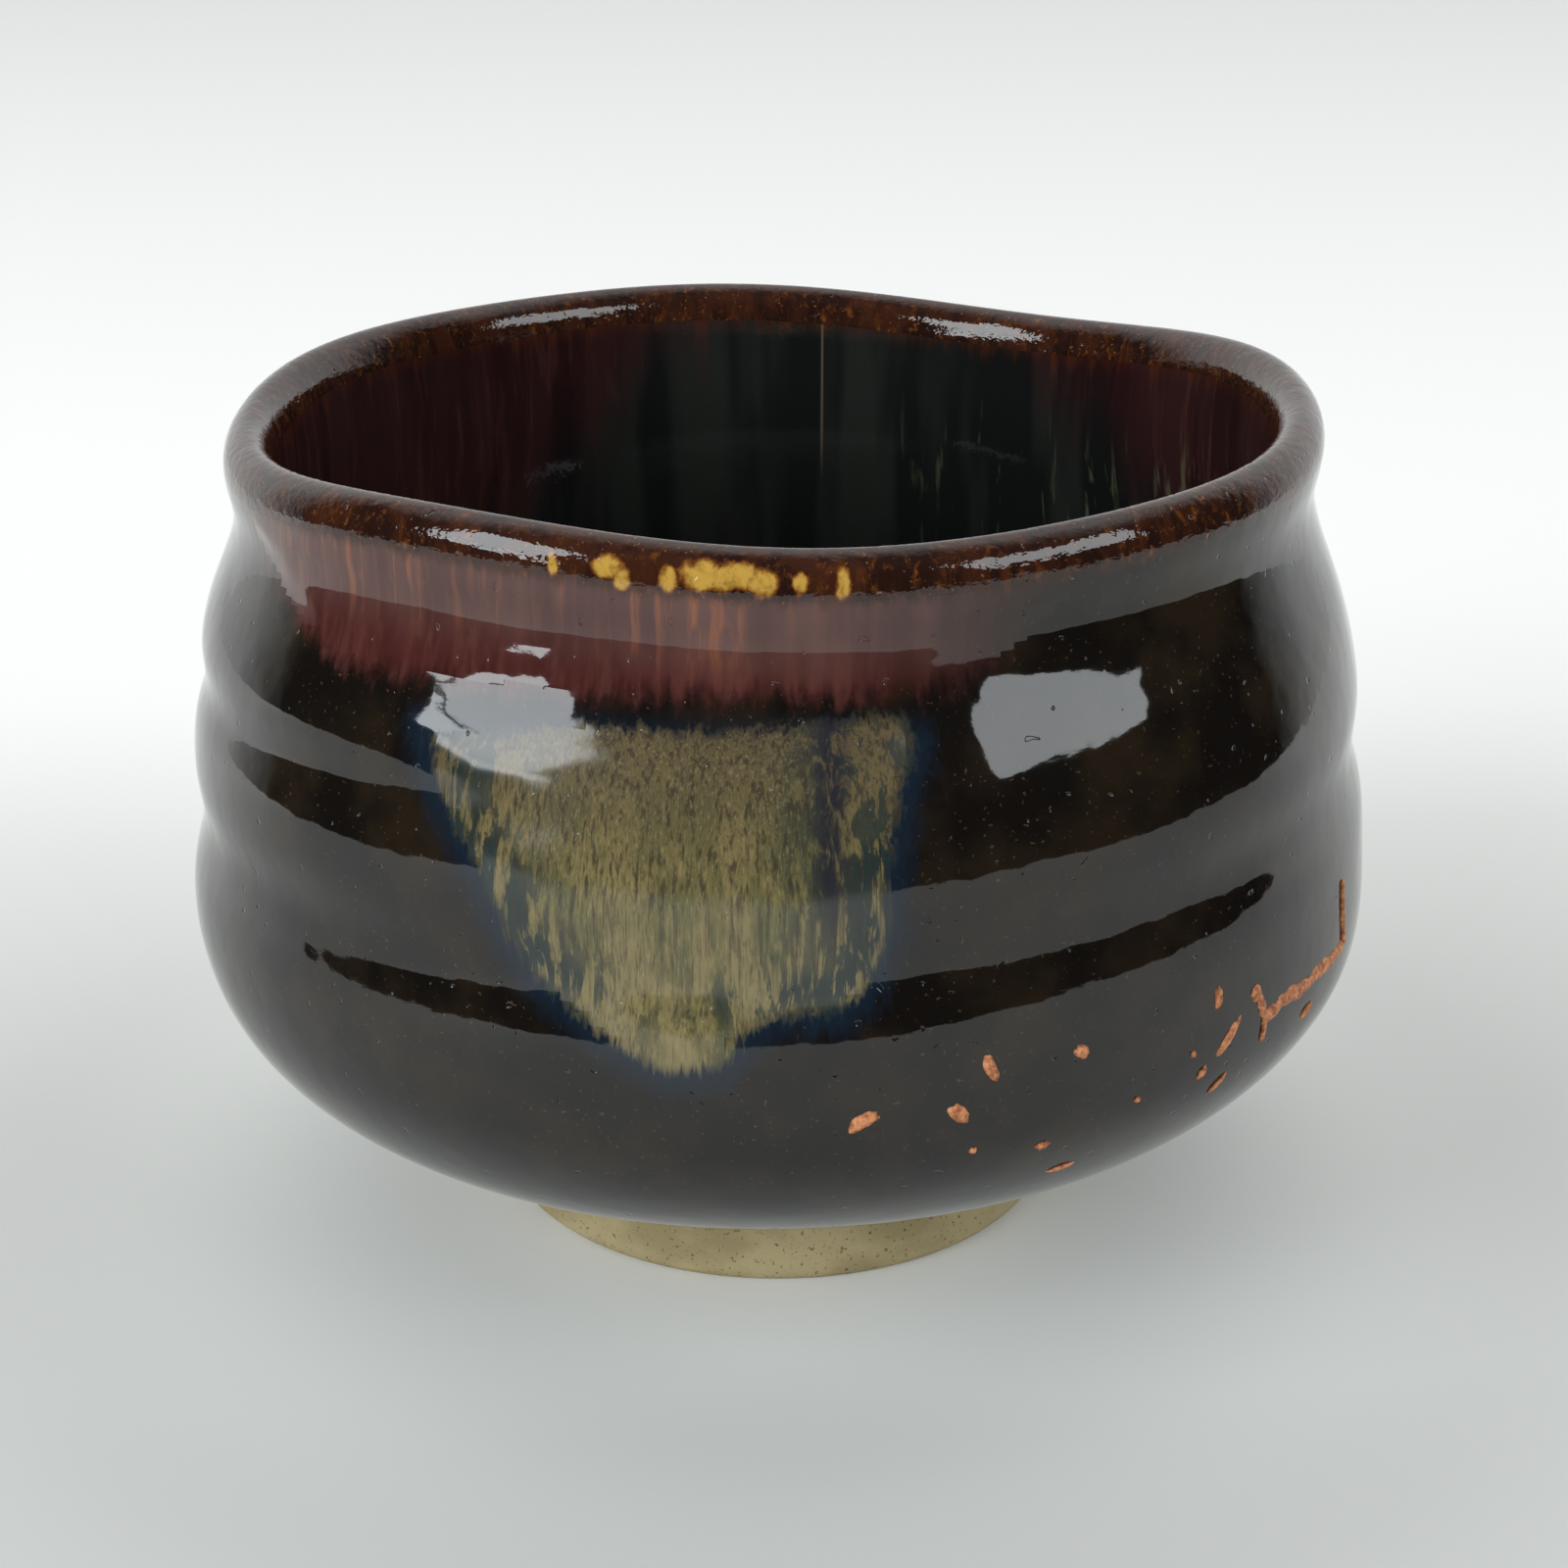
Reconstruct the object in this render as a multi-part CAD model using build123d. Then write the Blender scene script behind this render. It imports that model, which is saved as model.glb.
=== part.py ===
"""Matcha bowl: a hand-thrown tea bowl on a trimmed foot ring, with its coats of glaze.

Millimetres. +Z is up and the bowl stands on Z = 0. The origin is the middle of the
foot. The front, which carries the run of ash glaze, faces -Y. Angles are in degrees,
anticlockwise from +X as seen from above, so the front is at 270.

The clay and every coat of glaze share one wall outline. A coat is the space between
two lifts from that outline, where lift 0 is the glaze surface.
"""

import os
from math import cos, exp, radians, sin

from build123d import *

# Outline of the glazed surface as (radius, height), from the foot up, over the lip
# and down the inside. The potter's marks below are added to it.
OUTSIDE = [
    (29.8, 8.6), (34.7, 11.2), (43.4, 14.6), (52.0, 19.2), (56.7, 24.2),
    (59.1, 29.3), (59.9, 34.5), (59.6, 41.0), (59.1, 48.0), (58.5, 54.0),
    (57.6, 60.0), (56.1, 65.5), (54.1, 70.5), (53.2, 75.5), (53.8, 79.3),
]
LIP = [(53.2, 81.7), (51.3, 83.0), (49.4, 81.7)]
INSIDE = [
    (48.7, 79.3), (48.6, 72.0), (50.2, 62.0), (51.2, 50.0), (51.6, 38.0),
    (49.2, 28.0), (42.0, 20.5), (30.0, 16.2), (12.0, 14.4),
]

# Thickness of the first glaze, and of the coats and scars that lie on it.
GLAZE = 0.7
SECOND_COAT = 0.35

# Areas of the second coats, seen from the front as (x, z). The ash glaze runs down
# in a tongue. The shoulder coat hangs from the lip, and this is its lower edge.
ASH_RUN = [
    (-29.9, 65.6), (-29.1, 61.1), (-25.5, 54.7), (-22.8, 48.8), (-19.1, 44.6),
    (-16.3, 42.7), (-11.4, 39.8), (-7.3, 38.9), (-4.2, 40.4), (-2.1, 42.9),
    (6.1, 44.8), (9.1, 48.8), (9.6, 56.0), (10.8, 63.6), (11.6, 67.4),
    (0.9, 68.6), (-15.7, 68.0),
]
SHOULDER_EDGE = [
    (-50.5, 82.0), (-47.0, 75.0), (-41.5, 70.0), (-36.0, 68.8), (-30.0, 69.3),
    (-15.7, 70.0), (0.9, 70.5), (12.0, 70.4), (18.5, 72.0), (24.0, 76.0), (27.5, 82.0),
]

# Scars where the glaze crawled and bared rusty clay, as (angle, height, long, wide,
# tilt). The tilt is in degrees, anticlockwise as seen from outside.
SCARS = [
    (277.0, 34.8, 3.0, 1.5, 32), (285.0, 34.7, 2.4, 1.5, -45), (287.7, 38.6, 3.0, 1.1, -68),
    (296.0, 38.5, 1.8, 1.2, -25), (293.0, 29.7, 1.4, 1.0, 20), (286.5, 30.6, 0.8, 0.7, 0),
    (311.0, 39.4, 2.2, 1.1, 90), (312.5, 35.0, 4.6, 1.1, 45), (326.0, 32.4, 2.6, 0.8, 25),
    (309.4, 32.5, 1.5, 0.8, 50), (312.0, 30.3, 2.7, 0.5, 38), (296.0, 25.8, 3.0, 0.7, 8),
    (308.0, 34.9, 0.7, 0.6, 90), (302.0, 32.2, 0.8, 0.5, 20),
]
# The long forked scar at the right, as (angle, height) round its edge.
FORKED_SCAR = [
    (315.2, 38.9), (316.6, 38.9), (318.2, 36.2), (320.0, 36.8), (325.0, 36.4),
    (330.0, 36.5), (333.9, 36.2), (333.9, 42.6), (334.5, 42.6), (335.6, 35.0),
    (330.0, 34.8), (325.0, 34.6), (320.6, 34.4), (319.0, 33.2), (317.4, 32.4),
    (317.2, 34.8), (315.0, 37.6),
]

# Foot ring, trimmed from leather-hard clay and left bare.
FOOT_OUTER_R = 29.2
FOOT_INNER_R = 22.6
FOOT_EDGE = 0.9
RECESS_RISE = 1.3

# The lip dips and lifts a little round the bowl, as (waves per turn, cos, sin) in mm.
LIP_WAVES = [(1, 0.35, 0.2), (2, 0.2, -0.2), (3, 0.8, 0.1), (5, 0.0, 0.45)]
WAVE_FROM, WAVE_SPAN = 55.0, 22.0

# The groove left by the potter's finger climbs round the wall in a spiral.
GROOVE_START, GROOVE_END = 120.0, 625.0
GROOVE_LOW, GROOVE_PITCH = 41.0, 14.0
GROOVE_DEPTH, GROOVE_WIDTH = 1.0, 4.1

# Places along the outline where one loft hands over to the next, and their density.
OUTER_ROWS, LIP_ROWS, INNER_ROWS = 18, 6, 10
POINTS_ROUND = 24


def smooth(x):
    """An easy step from 0 to 1."""
    x = min(1.0, max(0.0, x))
    return x * x * (3 - 2 * x)


def lip_wave(angle):
    """Height of the lip above its mean at an angle."""
    a = radians(angle)
    return sum(c * cos(n * a) + s * sin(n * a) for n, c, s in LIP_WAVES)


def groove(angle, z):
    """Depth of the throwing groove, which passes most angles twice."""
    total = 0.0
    for turn in (0, 1):
        phi = angle % 360 + 360 * turn
        centre = GROOVE_LOW + GROOVE_PITCH * (phi - GROOVE_START) / 360
        centre += 1.6 * exp(-((phi - 320) / 45) ** 2)
        fade = smooth((phi - GROOVE_START) / 60) * smooth((GROOVE_END - phi) / 45)
        later = smooth((phi - 330) / 120)
        depth = GROOVE_DEPTH * (1 - 0.2 * later) * fade
        width = GROOVE_WIDTH * (1 - 0.3 * later)
        total += depth * exp(-((z - centre) / width) ** 2)
    return total


def drift(z):
    """How far the hand-thrown wall wanders off its axis at a height, as (x, y)."""
    belly = smooth((z - 8.6) / 6)
    low = 1 - smooth((z - 12) / 20)
    x = belly * (0.15 - 1.3 * low) - 0.5 * smooth((z - 52) / 18)
    y = belly * 1.7 * (1 - smooth((z - 10) / 24)) + 1.8 * smooth((z - 50) / 30)
    return x, y


OUTLINE = Edge.make_spline([Vector(r, 0, z) for r, z in OUTSIDE + LIP + INSIDE])


def share(index):
    """How far along the outline one of its own points lies, from 0 to 1."""
    r, z = (OUTSIDE + LIP + INSIDE)[index]
    return OUTLINE.param_at_point(Vector(r, 0, z))


LIP_START = share(len(OUTSIDE) - 1)
LIP_END = share(len(OUTSIDE) + len(LIP))


def wall_point(u, angle, lift):
    """A point of the wall: the outline turned to an angle, marked and lifted."""
    p = OUTLINE.position_at(u)
    t = OUTLINE.tangent_at(u)
    r = p.X + lift * t.Z
    z = p.Z - lift * t.X
    a = radians(angle)
    top = smooth((p.Z - WAVE_FROM) / WAVE_SPAN)
    outside = u <= LIP_END
    dx, dy = drift(p.Z)
    follow = 1.0 if outside else top
    r += follow * (dx * cos(a) + dy * sin(a))
    if outside:
        r -= groove(angle, p.Z)
    return Vector(r * cos(a), r * sin(a), z + top * lip_wave(angle))


def ring(u, lift):
    """A closed curve round the wall."""
    angles = [360 * i / POINTS_ROUND for i in range(POINTS_ROUND)]
    points = [wall_point(u, angle, lift) for angle in angles]
    return Wire([Edge.make_spline(points, periodic=True)])


def surface(start, end, rows, lift):
    """One lofted surface of the wall, with its first and last rings."""
    rings = [ring(start + (end - start) * i / rows, lift) for i in range(rows + 1)]
    return Shell.make_loft(rings).faces()[0], rings[0].edges()[0], rings[-1].edges()[0]


def strip(edge_a, edge_b):
    """The narrow face that closes a coat between two rings."""
    return Face.make_surface_from_curves(edge_a, edge_b)


def solid_of(faces):
    """A closed solid from the faces round it."""
    return Solid(Shell(faces))


def front_prism(*edges):
    """Everything in front of the bowl's middle that an outline covers."""
    return Solid.extrude(Face(Wire(edges)), Vector(0, -90, 0))


def curve(points, closed=False):
    """A smooth curve through points seen from the front."""
    return Edge.make_spline([Vector(x, 0, z) for x, z in points], periodic=closed)


def area_of(coat, prism):
    """The part of a coat inside a prism, as one solid."""
    pieces = (coat & prism).solids()
    return max(pieces, key=lambda piece: piece.volume)


def clay_body(faces):
    """The thrown wall and floor, hollowed a little under the floor inside the foot."""
    body = solid_of(faces)
    z = body.bounding_box().min.Z
    hollow = Polyline(
        (0, z - 1),
        (0, z + 0.3),
        (3.0, z + RECESS_RISE),
        (17.0, z + RECESS_RISE * 0.8),
        (FOOT_INNER_R, z),
        (FOOT_INNER_R, z - 1),
        close=True,
    )
    turned = revolve(Plane.XZ * make_face(hollow), Axis.Z, 360)
    return (body - turned).solids()[0]


def foot_ring(top):
    """The trimmed ring that the bowl stands on, with softened edges."""
    section = Polyline(
        (FOOT_INNER_R, top),
        (FOOT_INNER_R + 0.5, FOOT_EDGE),
        (FOOT_INNER_R + 0.5 + FOOT_EDGE, 0),
        (FOOT_OUTER_R - FOOT_EDGE, 0),
        (FOOT_OUTER_R, FOOT_EDGE),
        (FOOT_OUTER_R - 0.2, top - 1.5),
        (FOOT_OUTER_R - 0.1, top),
        close=True,
    )
    return revolve(Plane.XZ * make_face(section), Axis.Z, 360).solids()[0]


def ash_run(coat):
    """The tongue of ash glaze that ran down the front."""
    return area_of(coat, front_prism(curve(ASH_RUN, closed=True)))


def shoulder_coat(coat):
    """The maroon coat round the shoulder, from its wavering edge up to the lip."""
    left, right = SHOULDER_EDGE[0], SHOULDER_EDGE[-1]
    over = Edge.make_line(Vector(right[0], 0, right[1]), Vector(left[0], 0, left[1]))
    return area_of(coat, front_prism(curve(SHOULDER_EDGE), over))


def scar(coat, angle, z, long, wide, tilt):
    """One small oval scar on the wall."""
    a, t = radians(angle), radians(tilt)
    outward = (cos(a), sin(a), 0)
    lengthways = (-sin(a) * cos(t), cos(a) * cos(t), sin(t))
    flat = Plane(origin=(0, 0, z), x_dir=lengthways, z_dir=outward)
    oval = Face(Wire([Edge.make_ellipse(long / 2, wide / 2, plane=flat)]))
    return area_of(coat, Solid.extrude(oval, Vector(outward) * 90))


def forked_scar(coat):
    """The long forked scar at the right, cut out by a wedge that widens outwards."""
    rings = []
    for r in (50, 70):
        corners = [(r * cos(radians(a)), r * sin(radians(a)), z) for a, z in FORKED_SCAR]
        rings.append(Wire.make_polygon([Vector(*c) for c in corners], close=True))
    return area_of(coat, Solid.make_loft(rings, ruled=True))


def save(shape, name):
    """Write one piece of the bowl as its own file."""
    shape.label = name
    export_step(shape, f"parts/{name}.step")
    print(name, round(shape.volume, 1), "mm3")


os.makedirs("parts", exist_ok=True)

outer, outer_foot, outer_lip = surface(0, LIP_START, OUTER_ROWS, 0)
clay_out, clay_foot, clay_lip = surface(0, LIP_START, OUTER_ROWS, -GLAZE)
raised, raised_foot, raised_lip = surface(0, LIP_START, OUTER_ROWS, SECOND_COAT)
lip, lip_out, lip_in = surface(LIP_START, LIP_END, LIP_ROWS, 0)
clay_rim, rim_out, rim_in = surface(LIP_START, LIP_END, LIP_ROWS, -GLAZE)
inner, inner_lip, inner_well = surface(LIP_END, 1, INNER_ROWS, 0)
clay_in, clay_in_lip, clay_well = surface(LIP_END, 1, INNER_ROWS, -GLAZE)

base = Face(Wire([clay_foot]))
clay_floor = Face(Wire([clay_well]))
well = Face(Wire([inner_well]))

save(clay_body([clay_out, clay_rim, clay_in, clay_floor, base]), "clay_body")
save(foot_ring(base.center().Z), "foot_ring")
save(
    solid_of([outer, clay_out, strip(outer_foot, clay_foot), strip(outer_lip, clay_lip)]),
    "outer_glaze",
)
save(
    solid_of([lip, clay_rim, strip(lip_out, rim_out), strip(lip_in, rim_in)]),
    "lip_glaze",
)
save(
    solid_of([inner, clay_in, strip(inner_lip, clay_in_lip), well, clay_floor]),
    "inner_glaze",
)

second = solid_of(
    [outer, raised, strip(outer_foot, raised_foot), strip(outer_lip, raised_lip)]
)
save(shoulder_coat(second), "shoulder_glaze")
save(ash_run(second), "ash_glaze_run")
save(Compound([scar(second, *s) for s in SCARS] + [forked_scar(second)]), "rust_scars")
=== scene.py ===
# %% [markdown]
# # Matcha bowl
# A bowl for whisked tea, thrown on a wheel, trimmed to leave a bare foot ring and
# dipped in several glazes. The clay is turned round one axis, so every skin of the
# bowl starts as a thin profile line that is spun round the Z axis, the way a potter's
# wheel makes the real one. It could be sculpted by hand, but a spin keeps every skin on
# the same wall. The potter's marks are added to the spun skins afterwards.

# %% Loading the solid model
import math

import bpy
import numpy as np
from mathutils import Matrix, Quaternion, Vector


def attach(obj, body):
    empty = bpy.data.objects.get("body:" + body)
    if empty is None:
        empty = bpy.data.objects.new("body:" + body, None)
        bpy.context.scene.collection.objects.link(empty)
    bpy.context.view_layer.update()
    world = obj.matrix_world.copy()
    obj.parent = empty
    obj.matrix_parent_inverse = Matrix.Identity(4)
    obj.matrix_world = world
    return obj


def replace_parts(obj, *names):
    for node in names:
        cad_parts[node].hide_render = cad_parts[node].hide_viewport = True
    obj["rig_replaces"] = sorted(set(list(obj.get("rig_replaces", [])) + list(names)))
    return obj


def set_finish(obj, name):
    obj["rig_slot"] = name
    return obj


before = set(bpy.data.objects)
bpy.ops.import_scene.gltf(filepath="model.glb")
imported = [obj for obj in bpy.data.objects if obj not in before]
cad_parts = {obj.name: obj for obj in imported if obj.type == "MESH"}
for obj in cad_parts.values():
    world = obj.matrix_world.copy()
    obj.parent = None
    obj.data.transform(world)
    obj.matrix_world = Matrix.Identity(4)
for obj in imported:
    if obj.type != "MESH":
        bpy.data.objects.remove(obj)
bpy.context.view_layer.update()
print("pieces in the solid model:", sorted(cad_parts))

# %% [markdown]
# ## Sizes
# Sizes are in millimetres, and MM turns them into the metres that Blender works in. The
# outline is a list of (radius, height) pairs that runs from the foot up the outside,
# over the lip and down the inside to the tea well. It could be a curve drawn by hand,
# but a list keeps every height in one place, and each coat of glaze is then simply a
# lift away from it.

# %% Sizes of the bowl
MM = 0.001
OUTSIDE = [
    (29.8, 8.6), (34.7, 11.2), (43.4, 14.6), (52.0, 19.2), (56.7, 24.2),
    (59.1, 29.3), (59.9, 34.5), (59.6, 41.0), (59.1, 48.0), (58.5, 54.0),
    (57.6, 60.0), (56.1, 65.5), (54.1, 70.5), (53.2, 75.5), (53.8, 79.3),
]
LIP = [(53.2, 81.7), (51.3, 83.0), (49.4, 81.7)]
INSIDE = [
    (48.7, 79.3), (48.6, 72.0), (50.2, 62.0), (51.2, 50.0), (51.6, 38.0),
    (49.2, 28.0), (42.0, 20.5), (30.0, 16.2), (12.0, 14.4),
]
GLAZE = 0.7
SECOND_COAT = 0.35
GAP = 0.02  # a hair's breadth between skins that lie on each other
FOOT_TOP = 9.19
FOOT_INNER_R = 22.6
STEPS_ROUND = 256
print("mouth", 2 * OUTSIDE[-1][0], "mm wide, lip", LIP[1][1], "mm high")

# %% [markdown]
# ## The outline as a smooth curve
# A natural cubic spline is the curve that a thin strip of wood takes when it is held
# at a few points. It runs through every pair of the list without corners. A curve
# object could do the same, but a function also gives the wall's direction at any point,
# which the coats of glaze need.

# %% A smooth curve through a few points
def spline(points):
    """A function that gives the points of a smooth curve at shares 0 to 1."""
    p = np.array(points, float)
    s = np.concatenate([[0], np.cumsum(np.hypot(*np.diff(p, axis=0).T))])
    n, h = len(p), np.diff(s)
    a, b = np.eye(n), np.zeros((n, 2))
    for i in range(1, n - 1):
        a[i, i - 1:i + 2] = h[i - 1], 2 * (h[i - 1] + h[i]), h[i]
        b[i] = 6 * ((p[i + 1] - p[i]) / h[i] - (p[i] - p[i - 1]) / h[i - 1])
    m = np.linalg.solve(a, b)

    def at(share):
        x = np.asarray(share, float) * s[-1]
        i = np.clip(np.searchsorted(s, x, side="right") - 1, 0, n - 2)
        l, r, k = (s[i + 1] - x)[..., None], (x - s[i])[..., None], h[i][..., None]
        return (
            m[i] * l**3 / (6 * k) + m[i + 1] * r**3 / (6 * k)
            + (p[i] / k - m[i] * k / 6) * l + (p[i + 1] / k - m[i + 1] * k / 6) * r
        )

    return at, s / s[-1]


# %% The bowl's outline
outline, shares = spline(OUTSIDE + LIP + INSIDE)
LIP_START = shares[len(OUTSIDE) - 1]
LIP_END = shares[len(OUTSIDE) + len(LIP)]


def profile(start, end, rows, lift=0.0):
    """Points (r, z) in mm along a stretch of the outline, lifted off it."""
    u = np.linspace(start, end, rows + 1)
    nudge = 1e-4
    p, t = outline(u), outline(u + nudge) - outline(u - nudge)
    t /= np.linalg.norm(t, axis=1)[:, None]
    return p + lift * np.stack([t[:, 1], -t[:, 0]], 1)


print("the lip lies between shares", round(LIP_START, 3), "and", round(LIP_END, 3))

# %% [markdown]
# ## Turning a skin
# A potter's profile tool is a thin line held against the turning clay. Here the line
# is drawn point by point with vertex extrusions and then spun once round the Z axis.
# The line goes out along the visible face and comes back along the hidden face, so
# the spin gives a closed skin with a real thickness. A Screw modifier could turn it too,
# but the spin leaves plain faces that the potter's marks can move at once.

# %% Turning a closed line into a skin
WELD = 0.002 * MM  # points nearer than this become one


def turn(name, points, body="root"):
    """A closed piece turned from a closed line of (r, z) points in mm."""
    bpy.ops.object.select_all(action="DESELECT")
    first = (points[0][0] * MM, 0, points[0][1] * MM)
    bpy.ops.mesh.primitive_plane_add(size=MM, location=first)
    obj = bpy.context.object
    obj.name = obj.data.name = name
    bpy.ops.object.transform_apply(location=True)
    bpy.ops.object.mode_set(mode="EDIT")
    bpy.ops.mesh.select_all(action="SELECT")
    bpy.ops.mesh.merge(type="CENTER")
    for a, b in zip(points, [*points[1:], points[0]]):
        step = ((b[0] - a[0]) * MM, 0, (b[1] - a[1]) * MM)
        bpy.ops.mesh.extrude_vertices_move(TRANSFORM_OT_translate={"value": step})
    bpy.ops.mesh.select_all(action="SELECT")
    bpy.ops.mesh.remove_doubles(threshold=WELD)
    bpy.ops.mesh.spin(
        steps=STEPS_ROUND, angle=2 * math.pi, center=(0, 0, 0), axis=(0, 0, 1)
    )
    bpy.ops.mesh.select_all(action="SELECT")
    bpy.ops.mesh.remove_doubles(threshold=WELD)
    bpy.ops.mesh.normals_make_consistent(inside=False)
    bpy.ops.object.mode_set(mode="OBJECT")
    bpy.ops.object.shade_smooth_by_angle(angle=math.radians(50))
    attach(obj, body)
    print(name, len(obj.data.polygons), "faces")
    return obj

# %% [markdown]
# ## The potter's marks
# A thrown bowl is never quite round. The wall wanders off its axis, the lip dips and
# lifts, and the potter's finger leaves a groove that climbs the wall in a spiral.
# They could be pushed in by hand with a sculpting brush. Here they are small smooth
# shifts worked out for each vertex from its angle and height, so that the clay and all
# coats of glaze over it move together.

# %% The lip's waves
def smooth(x):
    """An easy step from 0 to 1."""
    x = np.clip(x, 0, 1)
    return x * x * (3 - 2 * x)


def lip_wave(a):
    """Height of the lip above its mean, in mm, at an angle in radians."""
    waves = [(1, 0.35, 0.2), (2, 0.2, -0.2), (3, 0.8, 0.1), (5, 0.0, 0.45)]
    return sum(c * np.cos(n * a) + s * np.sin(n * a) for n, c, s in waves)


print("the lip wanders", np.round(lip_wave(np.radians(range(0, 360, 45))), 2), "mm")

# %% The finger groove and the wall's drift
GROOVE_FROM, GROOVE_TO = 120, 625  # degrees, counted on past the first turn
GROOVE_START_Z, GROOVE_CLIMB = 41, 14  # mm, and mm for each turn


def groove(a, z):
    """Depth in mm of the spiral groove, which passes most angles twice."""
    total = 0
    for turn_number in (0, 1):
        phi = np.degrees(a) % 360 + 360 * turn_number
        centre = GROOVE_START_Z + GROOVE_CLIMB * (phi - GROOVE_FROM) / 360
        centre = centre + 1.6 * np.exp(-(((phi - 320) / 45) ** 2))
        fade = smooth((phi - GROOVE_FROM) / 60) * smooth((GROOVE_TO - phi) / 45)
        later = smooth((phi - 330) / 120)
        depth, width = (1 - 0.2 * later) * fade, 4.1 * (1 - 0.3 * later)
        total = total + depth * np.exp(-(((z - centre) / width) ** 2))
    return total


def drift(z):
    """How far the wall wanders off its axis at a height, as (x, y) in mm."""
    belly, low = smooth((z - 8.6) / 6), 1 - smooth((z - 12) / 20)
    x = belly * (0.15 - 1.3 * low) - 0.5 * smooth((z - 52) / 18)
    y = belly * 1.7 * (1 - smooth((z - 10) / 24)) + 1.8 * smooth((z - 50) / 30)
    return x, y


print("groove", round(float(groove(np.radians(270), np.array(46.8))), 2), "mm deep in front")

# %% Reading and moving the points of a piece
def points_of(obj):
    """The vertices of a piece as an array, in mm."""
    flat = np.empty(len(obj.data.vertices) * 3)
    obj.data.vertices.foreach_get("co", flat)
    return flat.reshape(-1, 3) / MM


def move_points(obj, co):
    """Puts the vertices of a piece back, in mm."""
    obj.data.vertices.foreach_set("co", (co * MM).ravel())
    obj.data.update()


def store(obj, name, values):
    """Keeps one number for each vertex, for the glazes to read."""
    field = obj.data.attributes.new(name, "FLOAT", "POINT")
    field.data.foreach_set("value", np.asarray(values, np.float32))


# %% Putting the marks on a turned skin
def marked(r, a, z, outside):
    """Where a turned point of radius r, angle a and height z ends up."""
    top = smooth((z - 55) / 22)
    dx, dy = drift(z)
    r = r + np.where(outside, 1, top) * (dx * np.cos(a) + dy * np.sin(a))
    r = r - np.where(outside, groove(a, z), 0)
    return np.stack([r * np.cos(a), r * np.sin(a), z + top * lip_wave(a)], -1)


# A line up the middle of the wall tells the outer side from the inner side.
MIDDLE_Z = [12, 16, 20, 28, 38, 50, 62, 72, 79.2]
MIDDLE_R = [30, 36, 47, 54, 55.8, 55, 53.4, 51.2, 51.3]


def add_marks(obj):
    """Shifts a turned piece's points, and keeps each one's old height as its level."""
    co = points_of(obj)
    r, a, z = np.hypot(co[:, 0], co[:, 1]), np.arctan2(co[:, 1], co[:, 0]), co[:, 2]
    outside = (z > MIDDLE_Z[-1]) | (r > np.interp(z, MIDDLE_Z, MIDDLE_R))
    store(obj, "level", z)
    move_points(obj, marked(r, a, z, outside))


print("the wall's middle lies between", min(MIDDLE_R), "and", max(MIDDLE_R), "mm")

# %% [markdown]
# ## Clay body
# The clay is thrown first: a thick wall and a floor. Most of it ends up under glaze, and
# only the floor shows, from below. It could be left out where it is hidden, but as a
# whole closed wall it gives the bowl its real weight and thickness. Its line runs just
# under the glaze, and under the floor there is a shallow hollow with a small button.

# %% Clay body
hollow = [
    (0, FOOT_TOP + 0.3), (1.6, FOOT_TOP + 0.5), (3.2, FOOT_TOP + 1.25),
    (9, FOOT_TOP + 1.3), (17, FOOT_TOP + 1.05), (FOOT_INNER_R, FOOT_TOP), (29.4, FOOT_TOP),
]
FLOOR_Z = 13.6
wall = [
    *profile(0, LIP_START, 50, -GLAZE - GAP)[1:],
    *profile(LIP_START, LIP_END, 14, -GLAZE - GAP)[1:],
    *profile(LIP_END, 1, 36, -GLAZE - GAP)[1:], (0, FLOOR_Z),
]
clay_wall = turn("clay_wall", [*hollow, *wall])
add_marks(clay_wall)
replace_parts(clay_wall, "clay_body")
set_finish(clay_wall, "stoneware")

# %% [markdown]
# ## Foot ring
# When the clay is leather hard, the bowl is turned over and the foot is trimmed, which
# leaves a ring to stand on. Its edges are softened with a wet finger. A plain ring with
# a Bevel modifier would have even edges, so the line of the ring is drawn instead, with
# the slight waves that the trimming tool leaves.

# %% Foot ring
foot_line = [
    (FOOT_INNER_R, FOOT_TOP - GAP), (22.75, 6.5), (22.95, 4), (23.1, 1.4), (23.35, 0.6),
    (23.9, 0.12), (24.6, 0), (26.2, 0.03), (27.7, 0), (28.5, 0.12), (29.0, 0.5),
    (29.25, 1.2), (29.3, 2.2), (29.15, 3.4), (29.2, 4.8), (29.05, 6.2), (29.0, 7.6),
    (29.1, 8.6), (29.3, FOOT_TOP - GAP),
]
foot_curve, _ = spline(foot_line)
foot = turn("foot", foot_curve(np.linspace(0, 1, 60)))
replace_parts(foot, "foot_ring")
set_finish(foot, "bare_clay")

# %% [markdown]
# ## First coat of glaze
# The whole bowl is dipped in iron glaze. It covers the outside down to the foot, the
# lip and the inside. It could be a colour on the clay, but a real coat has an edge that
# shows above the foot. So each of the three is a skin of its own over the clay, turned
# from its own stretch of the outline.

# %% A coat of glaze over a stretch of the wall
def coat(name, start, end, rows, well=()):
    """A glaze skin over one stretch of the outline."""
    back = profile(start, end, max(6, rows // 5), -GLAZE)
    front = profile(start, end, rows)
    hidden = [(r, z - GLAZE) for r, z in reversed(well)]
    obj = turn(name, [*front, *well, *hidden, *back[::-1]])
    add_marks(obj)
    return obj


# %% Glaze outside, on the lip and inside
WELL = [(8, 14.3), (4, 14.25), (0, 14.22)]
outside = coat("outside_glaze", 0, LIP_START, 150)
lip_band = coat("lip_band", LIP_START, LIP_END, 36)
inside = coat("inside_glaze", LIP_END, 1, 100, WELL)
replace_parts(outside, "outer_glaze")
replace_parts(lip_band, "lip_glaze")
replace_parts(inside, "inner_glaze")
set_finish(outside, "black_glaze")
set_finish(lip_band, "amber_glaze")
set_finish(inside, "inner_glaze")

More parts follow.
